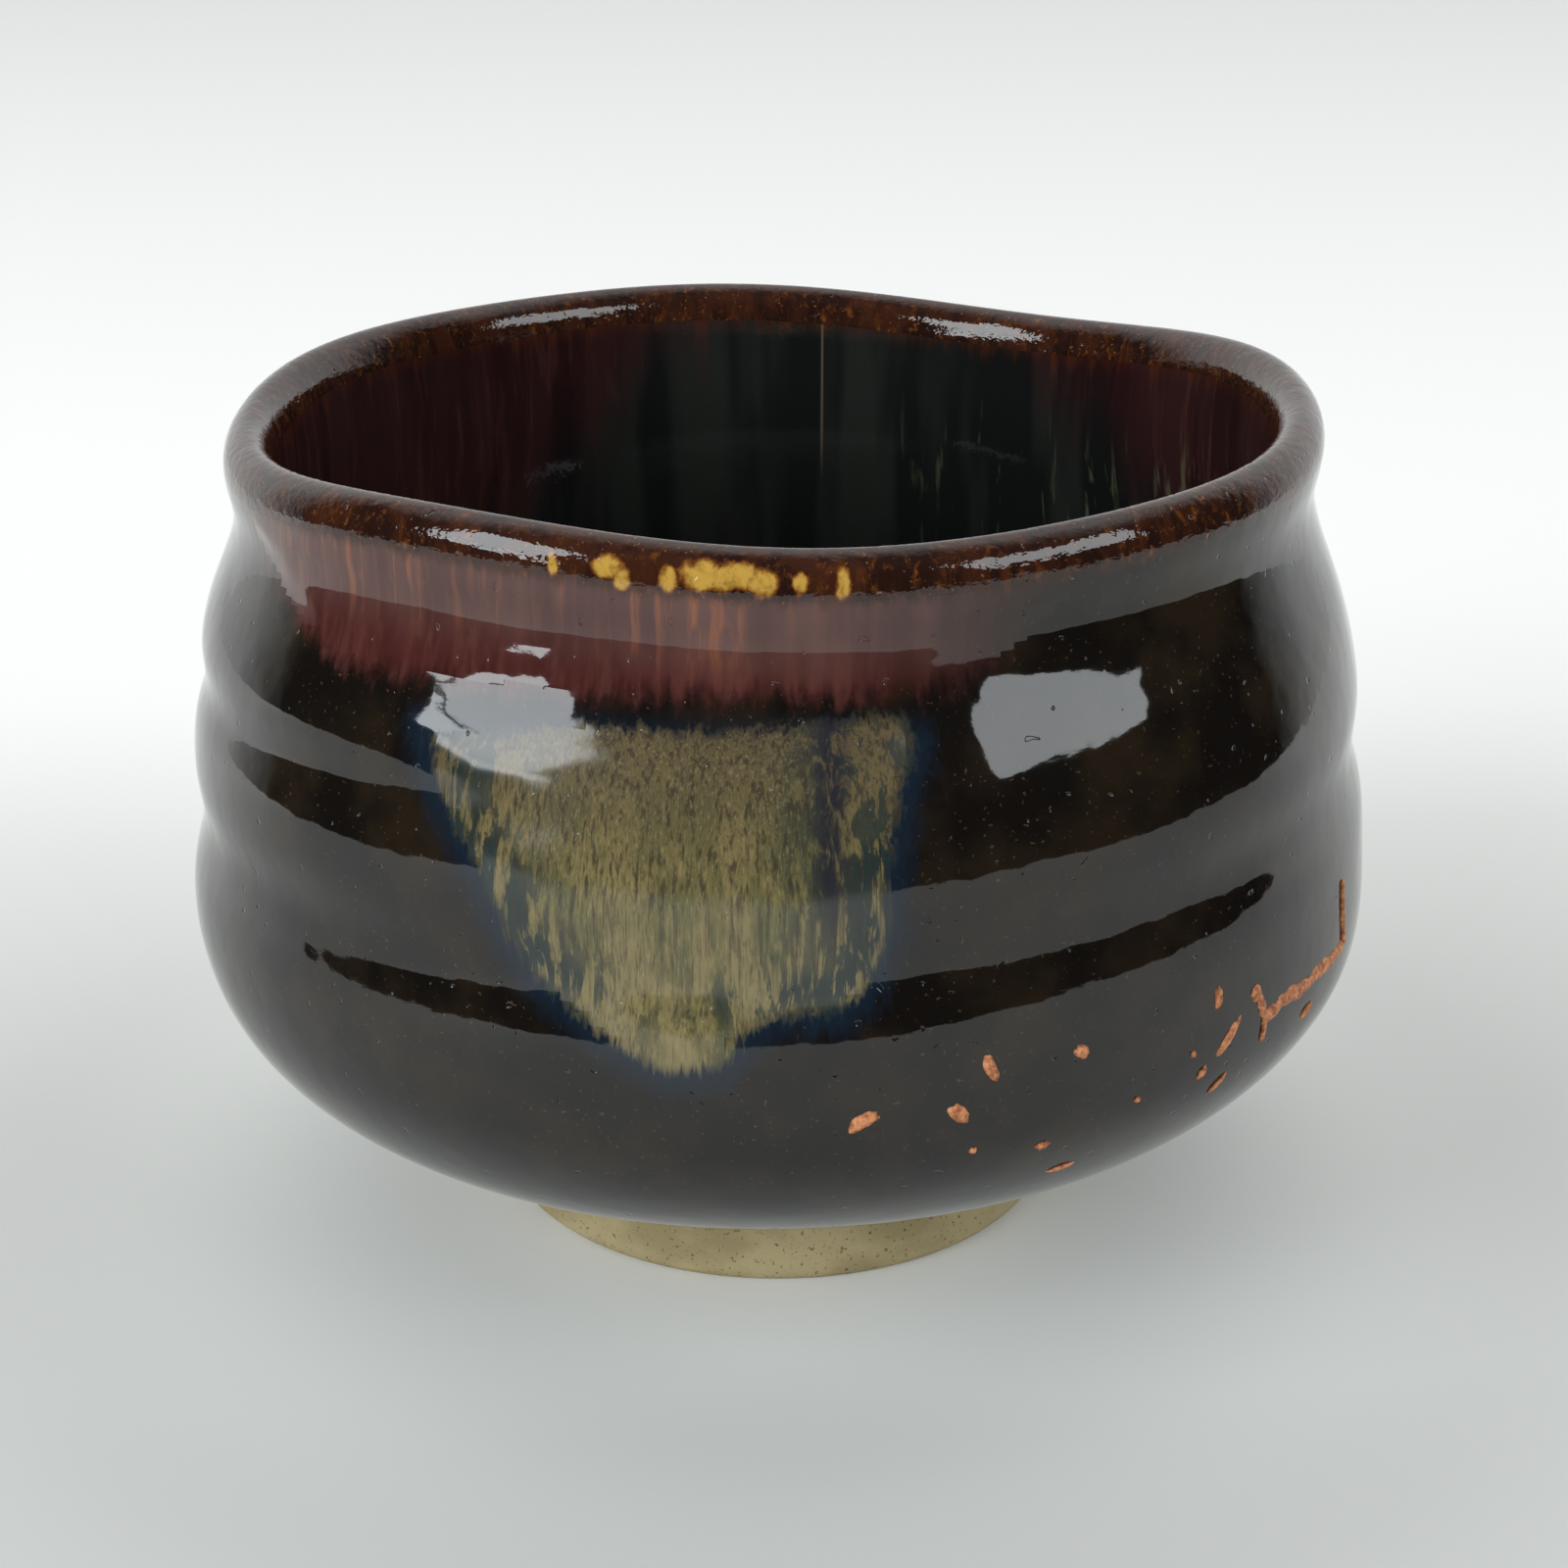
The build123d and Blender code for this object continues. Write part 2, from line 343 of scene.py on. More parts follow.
# %% [markdown]
# ## Where the second coats lie
# A spoon of ash glaze was poured on the front and ran down in a tongue. A maroon coat
# hangs from the lip at the front left. Their edges are curves drawn in front view, as
# (x, height) pairs. A painted mask could mark them too, but it would be a picture. Here
# each vertex keeps its distance to those edges, so that the layers can feather out and
# the colours can bleed into each other as melted glaze does.

# %% Edges of the second coats
ASH_EDGE = [
    (-29.9, 65.6), (-29.1, 61.1), (-25.5, 54.7), (-22.8, 48.8), (-19.1, 44.6),
    (-16.3, 42.7), (-11.4, 39.8), (-7.3, 38.9), (-4.2, 40.4), (-2.1, 42.9),
    (6.1, 44.8), (9.1, 48.8), (9.6, 56.0), (10.8, 63.6), (11.6, 67.4),
    (0.9, 68.6), (-15.7, 68.0), (-29.9, 65.6),
]
SHOULDER_EDGE = [
    (-50.5, 82.0), (-47.0, 75.0), (-41.5, 70.0), (-36.0, 68.8), (-30.0, 69.3),
    (-15.7, 70.0), (0.9, 70.5), (12.0, 70.4), (18.5, 72.0), (24.0, 76.0), (27.5, 82.0),
]
ash_curve = spline(ASH_EDGE)[0](np.linspace(0, 1, 160))
shoulder_curve = spline(SHOULDER_EDGE)[0](np.linspace(0, 1, 80))
print("ash run", round(np.ptp(ash_curve[:, 0]), 1), "x", round(np.ptp(ash_curve[:, 1]), 1), "mm")

# %% How far a point lies inside an edge
def inside_by(curve, x, z):
    """Distance in mm from a closed curve in front view, positive inside it."""
    x0, z0, x1, z1 = curve[:-1, 0], curve[:-1, 1], curve[1:, 0], curve[1:, 1]
    best, crossings = np.full(len(x), np.inf), np.zeros(len(x), int)
    for ax, az, bx, bz in zip(x0, z0, x1, z1):
        along = np.clip(((x - ax) * (bx - ax) + (z - az) * (bz - az))
                        / ((bx - ax) ** 2 + (bz - az) ** 2 + 1e-9), 0, 1)
        gap = np.hypot(x - ax - along * (bx - ax), z - az - along * (bz - az))
        best = np.minimum(best, gap)
        spans = (az > z) != (bz > z)
        crossings += spans & (x < ax + (z - az) * (bx - ax) / (bz - az + 1e-12))
    return np.where(crossings % 2 == 1, best, -best)


FAR = 40  # mm, past which a distance no longer matters
OVER_LIP = [(27.5, 120), (-50.5, 120)]  # closes the shoulder coat's edge above the lip


def store_edges(obj):
    """Keeps how far each vertex lies inside the ash run and the shoulder coat."""
    x, y, z = points_of(obj).T
    back = np.clip((y + 5) / 2, 0, None) * 3  # the far side counts as outside
    closed = np.vstack([shoulder_curve, OVER_LIP, shoulder_curve[:1]])
    for name, edge in (("ash", ash_curve), ("shoulder", closed)):
        store(obj, name, np.clip(inside_by(edge, x, z) - back, -FAR, FAR))


for piece in (outside, lip_band):
    store_edges(piece)
    print(piece.name, "keeps", [f.name for f in piece.data.attributes if f.name in
                                ("level", "ash", "shoulder")])

# %% [markdown]
# ## Second coats
# Each coat lies on the first one like a drop of syrup, thick in the middle and thin at
# its rim. It could be a bump in the material, but its rim has to catch the light. So it
# is lifted off a copy of the wall: the faces outside its edge are deleted, and the
# Solidify modifier gives the rest a thickness that feathers out to nearly nothing.

# %% Lifting a coat off the wall
THIN_RIM = 0.03  # share of the coat's thickness that is left at its rim


def second_coat(name, cad_node, field, feather):
    """A thin layer over the outer glaze where a stored distance is positive."""
    bpy.ops.object.select_all(action="DESELECT")
    outside.select_set(True)
    bpy.context.view_layer.objects.active = outside
    bpy.ops.object.duplicate()
    obj = bpy.context.object
    obj.name = obj.data.name = name
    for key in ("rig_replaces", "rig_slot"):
        if key in obj:
            del obj[key]
    mesh = obj.data
    depth = np.empty(len(mesh.vertices))
    mesh.attributes[field].data.foreach_get("value", depth)
    co = points_of(obj)
    level = np.array([v.value for v in mesh.attributes["level"].data])
    normal = np.array([v.normal[:] for v in mesh.vertices])
    faces_out = (normal[:, :2] * co[:, :2]).sum(1) > 0
    depth = np.minimum(depth, (OUTSIDE[-1][1] - level) * 1.2)
    keep = (depth > 0) & faces_out
    group = obj.vertex_groups.new(name="thickness")
    for i in np.nonzero(keep)[0]:
        share = float(smooth(depth[i] / feather))
        group.add([int(i)], max(THIN_RIM, share), "REPLACE")
    bpy.ops.object.mode_set(mode="EDIT")
    bpy.ops.mesh.select_mode(type="VERT")
    bpy.ops.mesh.select_all(action="DESELECT")
    bpy.ops.object.mode_set(mode="OBJECT")
    mesh.vertices.foreach_set("select", ~keep)
    bpy.ops.object.mode_set(mode="EDIT")
    bpy.ops.mesh.delete(type="VERT")
    bpy.ops.object.mode_set(mode="OBJECT")
    bpy.ops.object.modifier_add(type="SOLIDIFY")
    solid = obj.modifiers[-1]
    solid.thickness, solid.offset, solid.vertex_group = SECOND_COAT * MM, 1, group.name
    bpy.ops.object.modifier_apply(modifier=solid.name)
    obj.vertex_groups.clear()
    bpy.ops.object.shade_smooth_by_angle(angle=math.radians(50))
    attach(obj, "root")
    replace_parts(obj, cad_node)
    print(name, len(obj.data.polygons), "faces")
    return obj


# %% Ash run and shoulder coat
ash_run = second_coat("ash_run", "ash_glaze_run", "ash", 4.0)
shoulder = second_coat("shoulder_coat", "shoulder_glaze", "shoulder", 3.0)
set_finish(ash_run, "ash_glaze")
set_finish(shoulder, "maroon_glaze")

# %% [markdown]
# ## Rust scars
# Where the glaze crawled back from a speck of grit, rough rusty clay shows. Each scar
# is a small disc with a ragged edge, laid on the wall and raised in the middle. The
# long forked scar is three ragged strips that meet. They could be cut into the glaze,
# but rough clay swells a little out of its hole, so thin lids are laid on it.

# %% Places and sizes of the scars
# Round scars as (angle, height, length, width, tilt), in degrees and mm.
SCARS = [
    (277.0, 34.8, 3.0, 1.5, 32), (285.0, 34.7, 2.4, 1.5, -45), (287.7, 38.6, 3.0, 1.1, -68),
    (296.0, 38.5, 1.8, 1.2, -25), (293.0, 29.7, 1.4, 1.0, 20), (286.5, 30.6, 0.8, 0.7, 0),
    (311.0, 39.4, 2.2, 1.1, 90), (312.5, 35.0, 4.6, 1.1, 45), (326.0, 32.4, 2.6, 0.8, 25),
    (309.4, 32.5, 1.5, 0.8, 50), (312.0, 30.3, 2.7, 0.5, 38), (296.0, 25.8, 3.0, 0.7, 8),
    (308.0, 34.9, 0.7, 0.6, 90), (302.0, 32.2, 0.8, 0.5, 20),
]
# Strips of the forked scar: the points of a line, and half its width at both ends.
STRIPS = [
    ([(315.9, 38.8), (316.8, 37.2), (317.7, 35.2), (317.6, 32.5)], 0.8, 0.25),
    ([(317.6, 34.9), (320.3, 35.6), (325.0, 35.5), (330.0, 35.6), (335.0, 35.5)], 0.85, 0.8),
    ([(334.8, 35.6), (334.4, 37.5), (334.1, 40.0), (334.2, 42.6)], 0.5, 0.15),
]
print(len(SCARS), "round scars and one of", len(STRIPS), "strips")

# %% Laying points on the outer wall
out_r, out_z = outline(np.linspace(0, LIP_START, 400)).T


def on_wall(angle, z, lift):
    """Points in mm on the outer wall at angles in degrees and nominal heights."""
    r = np.interp(z, out_z, out_r) + lift
    return marked(r, np.radians(angle), z, True)


def place(obj, angle, z, along, across, tilt, rise):
    """Lays points on the wall, at distances in mm from an angle and a height."""
    c, s = np.cos(np.radians(tilt)), np.sin(np.radians(tilt))
    sideways, up = along * c - across * s, along * s + across * c
    degrees = angle + np.degrees(sideways / np.interp(z, out_z, out_r))
    move_points(obj, on_wall(degrees, z + up, rise))


# %% A round scar
SCAR_RISE, SCAR_SINK = 0.3, 0.03  # mm above the glaze, and how far its rim dips in


def disc_scar(index, angle, z, long, wide, tilt):
    """One ragged disc laid on the wall."""
    bpy.ops.mesh.primitive_circle_add(vertices=28, radius=1, fill_type="TRIFAN")
    obj = bpy.context.object
    bpy.ops.object.mode_set(mode="EDIT")
    bpy.ops.mesh.select_all(action="SELECT")
    bpy.ops.mesh.subdivide(number_cuts=3)
    bpy.ops.object.mode_set(mode="OBJECT")
    x, y, _ = (points_of(obj) * MM).T
    r, t = np.hypot(x, y), np.arctan2(y, x)
    rng = np.random.default_rng(index)
    ragged = sum(rng.uniform(-0.6, 0.6) / k ** 0.7 * np.sin(k * t + rng.uniform(0, 6))
                 for k in range(2, 10))
    s = 1 + 0.34 * ragged * r
    rise = SCAR_RISE * smooth((1 - r) / 0.45) - SCAR_SINK
    place(obj, angle, z, x * s * long / 2, y * s * wide / 2, tilt, rise)
    return obj


# %% A strip of the forked scar
def strip_scar(line, start_half, end_half):
    """A ragged strip of faces bent along a line on the wall."""
    bpy.ops.mesh.primitive_grid_add(x_subdivisions=80, y_subdivisions=8, size=2)
    obj = bpy.context.object
    x, y, _ = (points_of(obj) * MM).T
    line, steps = np.array(line), np.arange(len(line))
    u = (x + 1) / 2 * steps[-1]
    angle, z = np.interp(u, steps, line[:, 0]), np.interp(u, steps, line[:, 1])
    run = np.gradient(np.radians(line[:, 0])) * np.interp(line[:, 1], out_z, out_r)
    tilt = np.interp(u, steps, np.degrees(np.arctan2(np.gradient(line[:, 1]), run)))
    half = start_half + (end_half - start_half) * (x + 1) / 2
    half = half * (1 + 0.22 * np.sin(5 * u + y) + 0.13 * np.sin(13 * u + 2 * y))
    half = half * np.sqrt(np.clip(1 - np.abs(x) ** 8, 0.01, 1))
    rise = SCAR_RISE * smooth((1 - np.abs(y)) / 0.6) * smooth((1 - np.abs(x)) / 0.1)
    rise = rise - SCAR_SINK
    place(obj, angle, z, 0 * x, y * half, tilt, rise)
    return obj


# %% All scars as one piece
bpy.ops.object.select_all(action="DESELECT")
made = [disc_scar(i, *s) for i, s in enumerate(SCARS)] + [strip_scar(*s) for s in STRIPS]
for obj in made:
    obj.select_set(True)
bpy.ops.object.join()
scars = bpy.context.object
scars.name = scars.data.name = "scars"
bpy.ops.object.transform_apply(location=True, rotation=True, scale=True)
bpy.ops.object.modifier_add(type="SOLIDIFY")
scars.modifiers[-1].thickness = 0.2 * MM
scars.modifiers[-1].offset = -1
bpy.ops.object.modifier_apply(modifier=scars.modifiers[-1].name)
bpy.ops.object.shade_smooth()
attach(scars, "root")
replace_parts(scars, "rust_scars")
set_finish(scars, "rust")
print("scars", len(scars.data.polygons), "faces")

# %% [markdown]
# ## Shader tools
# A glaze is a layer of coloured glass. Its colours follow how it melted and ran, so
# each material below is built from a few stretched noise patterns, mixed by the
# distances that the pieces carry. Node trees could be wired by hand in the shader
# editor. These helpers keep the same trees short enough to read.

# %% Colours
def rgb(r, g, b):
    """A display colour from 11 to 255 as the linear colour that a shader takes."""
    return (*[((v / 255 + 0.055) / 1.055) ** 2.4 for v in (r, g, b)], 1.0)


print("a mid grey is", round(rgb(128, 128, 128)[0], 3), "in linear light")

# %% A material and its nodes
MM_IN_METRE = 1000


class Paint:
    """A material and short ways to add nodes to it."""

    def __init__(self, name):
        self.material = bpy.data.materials.new(name)
        self.material.use_nodes = True
        self.tree = self.material.node_tree
        self.shader = self.tree.nodes["Principled BSDF"]
        place = self.add("ShaderNodeTexCoord").outputs["Object"]
        self.mm = self.vector("MULTIPLY", place, [MM_IN_METRE] * 3)
        axes = self.add("ShaderNodeSeparateXYZ", {0: self.mm})
        self.x, self.y, self.z = axes.outputs

    def add(self, kind, inputs=None, **settings):
        """Adds a node. An input is a plain value or another node's socket."""
        made_node = self.tree.nodes.new(kind)
        for key, value in settings.items():
            setattr(made_node, key, value)
        for key, value in (inputs or {}).items():
            if isinstance(value, bpy.types.NodeSocket):
                self.tree.links.new(value, made_node.inputs[key])
            else:
                made_node.inputs[key].default_value = value
        return made_node

    def vector(self, operation, a, b):
        """A sum or product of two vectors."""
        made_node = self.add("ShaderNodeVectorMath", {0: a, 1: b}, operation=operation)
        return made_node.outputs["Vector"]

    def calc(self, operation, a, b=0.0):
        """A sum, product or other step of two numbers."""
        return self.add("ShaderNodeMath", {0: a, 1: b}, operation=operation).outputs[0]

    def field(self, name):
        """A number that the piece keeps for each vertex."""
        return self.add("ShaderNodeAttribute", attribute_name=name).outputs["Fac"]

    def noise(self, stretch, detail=3.0, rough=0.5, bend=0.0):
        """Noise from 0 to 1. The stretch is how many grains fit in 1 mm on each axis."""
        place = self.vector("MULTIPLY", self.mm, stretch)
        inputs = {"Vector": place, "Scale": 1.0, "Detail": detail, "Roughness": rough,
                  "Distortion": bend}
        return self.add("ShaderNodeTexNoise", inputs).outputs["Fac"]

    def ease(self, value, low, high, start=0.0, end=1.0):
        """An easy step between two values."""
        inputs = {"Value": value, "From Min": low, "From Max": high, "To Min": start,
                  "To Max": end}
        kind = "ShaderNodeMapRange"
        return self.add(kind, inputs, interpolation_type="SMOOTHSTEP").outputs["Result"]

    def bump_at(self, value, middle, half):
        """1 at a middle value and 0 further from it than half."""
        away = self.calc("ABSOLUTE", self.calc("SUBTRACT", value, middle))
        return self.ease(away, half, 0.0)

    def mix(self, share, a, b):
        """A blend from one colour to another."""
        inputs = {"Factor": share, "A": a, "B": b}
        return self.add("ShaderNodeMix", inputs, data_type="RGBA").outputs["Result"]

    def times(self, *values):
        result = values[0]
        for value in values[1:]:
            result = self.calc("MULTIPLY", result, value)
        return result

    def plus(self, a, b):
        return self.calc("ADD", a, b)

    def relief(self, *layers):
        """A fine unevenness of the surface from (height, distance in mm) pairs."""
        normal = None
        for height, depth in layers:
            inputs = {"Height": height, "Strength": 1.0, "Distance": depth * MM}
            if normal is not None:
                inputs["Normal"] = normal
            normal = self.add("ShaderNodeBump", inputs).outputs["Normal"]
        self.tree.links.new(normal, self.shader.inputs["Normal"])

    def set(self, **values):
        """Sets the shader's own inputs by name, with _ for a space."""
        for key, value in values.items():
            socket = self.shader.inputs[key.replace("_", " ")]
            if isinstance(value, bpy.types.NodeSocket):
                self.tree.links.new(value, socket)
            else:
                socket.default_value = value

# %% [markdown]
# ## Grain of the outside glaze
# Melted glaze runs down the wall, so its grain is long and upright: hairs, threads and
# streaks. It could come from one noise at several scales, but each kind of streak has
# its own length. A stretched noise stands for each of them, and all coats share them,
# so that the streaks run on from coat to coat.

# %% Grain of the outside glaze
class Grain:
    """Noise patterns from 0 to 1 that the coats of the outside glaze share."""

    def __init__(self, p):
        self.hair = p.noise((2.3, 2.3, 0.07), 4, 0.6, 0.25)
        self.thread = p.noise((5.0, 5.0, 0.3), 3, 0.7, 0.2)
        self.fine = p.noise((0.9, 0.9, 0.12), 4, 0.65, 0.7)
        self.long = p.noise((0.75, 0.75, 0.05), 4, 0.6, 0.3)
        self.patch = p.noise((0.32, 0.32, 0.12), 4, 0.6, 0.5)
        self.broad = p.noise((0.22, 0.22, 0.035), 2, 0.5)
        self.cloud = p.noise((0.12, 0.12, 0.12), 3, 0.55)
        self.speck = p.noise((2.6, 2.6, 2.6), 1, 0.4)
        self.pool = p.noise((1.0, 1.0, 0.8), 3, 0.6, 0.4)


def ragged(p, value, pattern, amount):
    """A distance that a noise pattern pushes to and fro, so that its edge is ragged."""
    return p.plus(value, p.times(p.calc("SUBTRACT", pattern, 0.5), amount))

# %% [markdown]
# ## Black glaze and maroon shoulder
# The iron glaze is nearly black, with brown and olive clouds. The shoulder is maroon,
# milky towards the lip, with brown streaks at the left. Two plain colours would look
# like paint, so each is mixed from a few close tones.

# %% Black glaze
def iron_black(p, grain):
    """Nearly black iron glaze, with brown and olive clouds and specks in it."""
    black = p.mix(p.ease(grain.cloud, 0.4, 0.7), rgb(17, 14, 12), rgb(36, 28, 19))
    return p.mix(p.times(p.ease(grain.speck, 0.70, 0.76), 0.6), black, rgb(80, 62, 44))

# %% Maroon shoulder
def shoulder_maroon(p, grain, level):
    """Maroon that turns milky towards the lip, with brown streaks."""
    broad, long = grain.broad, grain.long
    maroon = p.mix(p.ease(broad, 0.3, 0.7), rgb(66, 30, 28), rgb(78, 38, 36))
    milky = p.mix(p.ease(broad, 0.35, 0.65), rgb(72, 45, 42), rgb(90, 59, 54))
    maroon = p.mix(p.ease(level, 70.5, 75), maroon, milky)
    maroon = p.mix(p.times(p.ease(long, 0.42, 0.7), 0.4), maroon, rgb(96, 60, 52))
    brown = p.times(p.ease(long, 0.47, 0.66), p.ease(broad, 0.38, 0.56), p.ease(p.x, 4, -8))
    return p.mix(p.times(brown, p.ease(level, 71, 77)), maroon, rgb(132, 80, 52))

# %% [markdown]
# ## Ash run
# Wood ash melts to an ochre and olive glass. It ran down over the iron glaze and tore
# into hair-fine streaks, and at its flanks the two mixed to teal. Its colours could be
# painted on. Instead they follow the height and the distance to the run's edge.

# %% Teal flanks of the ash run
def flank_teal(p, grain, ash):
    """How near a point is to the run's flanks, and how much teal has grown there."""
    flank = p.calc("MAXIMUM", p.ease(p.z, 64, 58), p.ease(p.x, -18, -23))
    side = p.times(p.ease(ash, 8.5, 2.5), flank, p.ease(p.z, 41, 47, 0.2, 1.0))
    side = p.calc("MAXIMUM", side, p.times(p.ease(p.x, -3, 5), 0.8))
    right = p.times(p.ease(p.x, 1, 6), p.ease(p.z, 61, 55), p.ease(p.z, 43, 48))
    grown = ragged(p, grain.fine, grain.patch, 0.6)
    grown = p.plus(grown, p.plus(p.times(right, 0.06), p.times(side, 0.03)))
    teal = p.times(p.ease(grown, 0.46, 0.56), p.plus(p.times(side, 0.9), 0.05))
    return side, teal

# %% Colours of the ash run
def ash_ochre(p, grain, ash):
    """Ochre and olive, brown at the top, with teal flanks and dark hairs."""
    patch, thread = grain.patch, grain.thread
    tan = p.mix(p.ease(patch, 0.40, 0.60), rgb(120, 107, 69), rgb(97, 92, 58))
    pale = p.times(p.ease(patch, 0.54, 0.40), p.ease(p.z, 60, 46), 0.8)
    tan = p.mix(pale, tan, rgb(126, 114, 78))
    tan = p.mix(p.ease(p.z, 54, 68, 0.0, 0.85), tan, rgb(86, 74, 54))
    side, teal = flank_teal(p, grain, ash)
    tan = p.mix(teal, tan, rgb(28, 44, 46))
    streaks = p.times(p.ease(grain.hair, 0.49, 0.64), p.ease(p.z, 42, 56, 0.25, 0.75))
    tan = p.mix(streaks, tan, rgb(52, 45, 38))
    tan = p.mix(p.times(p.ease(thread, 0.52, 0.66), 0.55), tan, rgb(58, 52, 42))
    bright = p.times(p.ease(thread, 0.46, 0.34), p.ease(side, 1.0, 0.2), 0.35)
    tan = p.mix(bright, tan, rgb(150, 136, 98))
    gap = p.times(p.bump_at(p.x, 4.4, 2.4), p.ease(p.z, 48, 57))
    return p.mix(p.times(gap, p.ease(grain.fine, 0.3, 0.52), 0.9), tan, rgb(36, 36, 44))

# %% [markdown]
# ## Brown lip with golden pools
# Glaze runs off a lip, so there it is thin and fires brown. On the front it gathered in
# golden pools. They could be separate drops, but they lie flush in the glaze, so they
# are ovals of colour whose rims are broken up by the grain.

# %% Golden pools
# Pools on the front of the lip, as (x, level, half width, half height) in mm.
POOLS = [
    (-5.6, 80.9, 2.4, 1.3), (-3.2, 81.1, 2.2, 1.1), (-1.2, 80.7, 1.6, 1.2),
    (1.9, 80.7, 0.6, 0.9), (5.4, 80.6, 0.7, 1.5), (-13.8, 80.8, 1.4, 1.0),
    (-12.6, 80.0, 0.8, 1.0), (-8.8, 80.4, 0.8, 1.2), (-18.4, 80.4, 0.5, 1.1),
]


def pools(p, level):
    """How deep a point lies in a golden pool."""
    total = 0.0
    for x, height, wide, tall in POOLS:
        a = p.calc("DIVIDE", p.calc("SUBTRACT", p.x, x), wide)
        b = p.calc("DIVIDE", p.calc("SUBTRACT", level, height), tall)
        far = p.plus(p.times(a, a), p.times(b, b))
        total = p.calc("MAXIMUM", p.ease(far, 1.6, 0.0), total)
    return p.times(total, p.ease(p.y, 0, -10))


print(len(POOLS), "golden pools")

# %% Colours of the lip
def lip_brown(p, grain, level):
    """Brown with rusty specks, and gold in the pools."""
    lip = p.mix(p.ease(grain.patch, 0.4, 0.6), rgb(36, 19, 15), rgb(56, 29, 18))
    lip = p.mix(p.times(p.ease(grain.fine, 0.54, 0.70), 0.5), lip, rgb(86, 46, 22))
    lip = p.mix(p.times(p.ease(grain.speck, 0.70, 0.76), 0.6), lip, rgb(140, 88, 44))
    depth = ragged(p, pools(p, level), grain.pool, 1.8)
    lip = p.mix(p.ease(depth, 0.10, 0.50), lip, rgb(104, 58, 22))
    return p.mix(p.ease(depth, 0.38, 1.05), lip, rgb(186, 146, 66))

# %% [markdown]
# ## The whole outside glaze
# From the lip down the coats lie over each other: brown lip, maroon shoulder, ash run
# and black. They could be four materials, but then each border would be a hard line. One
# material mixes them by the distances that each vertex keeps, with ragged borders and a
# blue halo round the ash.

# %% Colour and roughness outside
def outside_colours(p):
    """Colour and roughness of the glaze outside, for any piece of the bowl."""
    grain = Grain(p)
    ash, shoulder, level = p.field("ash"), p.field("shoulder"), p.field("level")
    hem = ragged(p, shoulder, grain.long, 5.0)
    on_shoulder = p.times(p.ease(hem, -1.4, 1.6), p.ease(p.x, 26, 4))
    maroon = shoulder_maroon(p, grain, level)
    colour = p.mix(on_shoulder, iron_black(p, grain), maroon)
    edge = ragged(p, ragged(p, ash, grain.fine, 3.4), grain.hair, 2.4)
    halo = p.times(p.ease(edge, -2.8, 0.2), p.ease(p.z, 70, 66))
    colour = p.mix(halo, colour, rgb(20, 32, 44))
    on_ash = p.ease(edge, -0.2, 1.2)
    colour = p.mix(on_ash, colour, ash_ochre(p, grain, ash))
    high = ragged(p, level, grain.fine, 2.5)
    colour = p.mix(p.ease(high, 78.4, 79.8), colour, lip_brown(p, grain, level))
    return colour, p.plus(p.times(on_ash, 0.1), 0.045)

# %% The outside glaze as a material
GLAZE_IOR = 1.58


def outside_paint(name):
    """The outside glaze, slightly uneven, with beads on the lip and a few pinholes."""
    p = Paint(name)
    colour, rough = outside_colours(p)
    p.set(Base_Color=colour, Roughness=rough, IOR=GLAZE_IOR)
    on_lip = p.ease(p.field("level"), 78.5, 80, 0.3, 6.0)
    beads = p.times(p.noise((0.9, 0.9, 1.6), 2), on_lip)
    pits = p.ease(p.noise((1.1, 1.1, 1.1), 0), 0.86, 0.80)
    p.relief((p.noise((0.16, 0.16, 0.16), 2), 0.10), (beads, 0.010), (pits, 0.05))
    return p.material


outside_glaze = outside_paint("iron_and_ash_glaze")
print(len(outside_glaze.node_tree.nodes), "nodes in the outside glaze")

# %% [markdown]
# ## The inside glaze
# Under the lip the inside is maroon, lower down it is green-black, and long pale runs
# hang down at the right. A thin seam shows in the back wall. It could share the outside
# material, but it has no second coats, so a shorter one of its own is easier to read.

# %% The inside glaze as a material
def inside_paint(name):
    """The glaze inside: maroon under the lip, then green-black, with long runs."""
    p = Paint(name)
    level = p.field("level")
    fine = p.noise((0.6, 0.6, 0.05), 3, 0.6, 0.3)
    broad = p.noise((0.16, 0.16, 0.02), 2, 0.5)
    depth = ragged(p, level, broad, 26.0)
    deep = p.mix(p.ease(broad, 0.42, 0.62), rgb(20, 21, 21), rgb(33, 35, 32))
    maroon = p.mix(p.ease(broad, 0.35, 0.65), rgb(36, 17, 18), rgb(46, 25, 25))
    maroon = p.mix(p.times(p.ease(fine, 0.5, 0.72), 0.5), maroon, rgb(70, 42, 36))
    turned = p.plus(depth, p.ease(p.calc("ABSOLUTE", p.plus(p.x, -8)), 10, 44, -20, 8))
    colour = p.mix(p.ease(turned, 58, 74), deep, maroon)
    runs = p.times(p.ease(fine, 0.56, 0.7), p.ease(p.x, 10, 25), p.ease(level, 74, 66))
    colour = p.mix(p.times(runs, 0.8), colour, rgb(78, 80, 58))
    amber = p.ease(p.plus(level, p.calc("MULTIPLY", fine, 6.0)), 80.5, 84)
    colour = p.mix(p.times(amber, 0.7), colour, rgb(70, 32, 13))
    seam = p.times(p.bump_at(p.x, 5.3, 0.22), p.ease(p.y, 0, 10), p.ease(level, 60, 68))
    colour = p.mix(p.times(seam, 0.55), colour, rgb(112, 96, 78))
    p.set(Base_Color=colour, Roughness=0.06, IOR=GLAZE_IOR)
    p.relief((p.noise((0.16, 0.16, 0.1), 2), 0.10), (p.noise((1.5, 1.5, 1.1), 2), 0.010))
    return p.material


inside_glaze = inside_paint("inside_glaze")
print(len(inside_glaze.node_tree.nodes), "nodes in the inside glaze")

